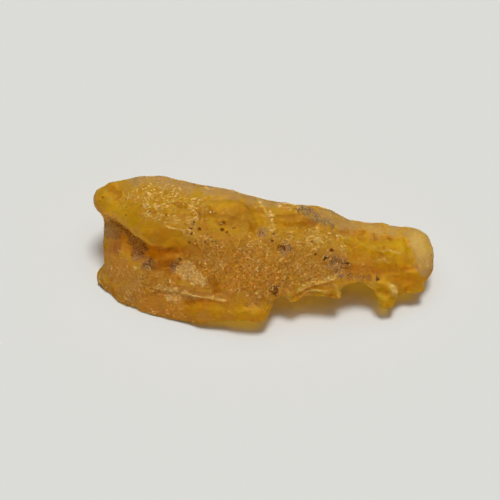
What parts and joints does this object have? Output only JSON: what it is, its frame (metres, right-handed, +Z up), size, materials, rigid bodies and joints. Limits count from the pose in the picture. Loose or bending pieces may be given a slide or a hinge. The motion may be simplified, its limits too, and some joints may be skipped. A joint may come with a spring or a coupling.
{
  "type": "raw copal piece",
  "caption": "Long low lump of raw copal resin with a knobbed thick end, rolled shelf lip, pitted crust, broken ledges and a pale worn tip; lies on flats worn underneath.",
  "frame": {"origin": "under the middle of the piece's box, on the surface it rests on", "axes": "+X along the piece from its thick end to its thin end, +Y to its back, +Z up"},
  "size_m": [0.0684, 0.0306, 0.0173],
  "materials": {
    "copal_resin": "translucent amber-yellow fossil resin with a dull granular tan crust, clear worn lips and a pale rubbed end"
  },
  "bodies": {
    "root": {"copal_piece": "copal_resin"}
  },
  "joints": []
}
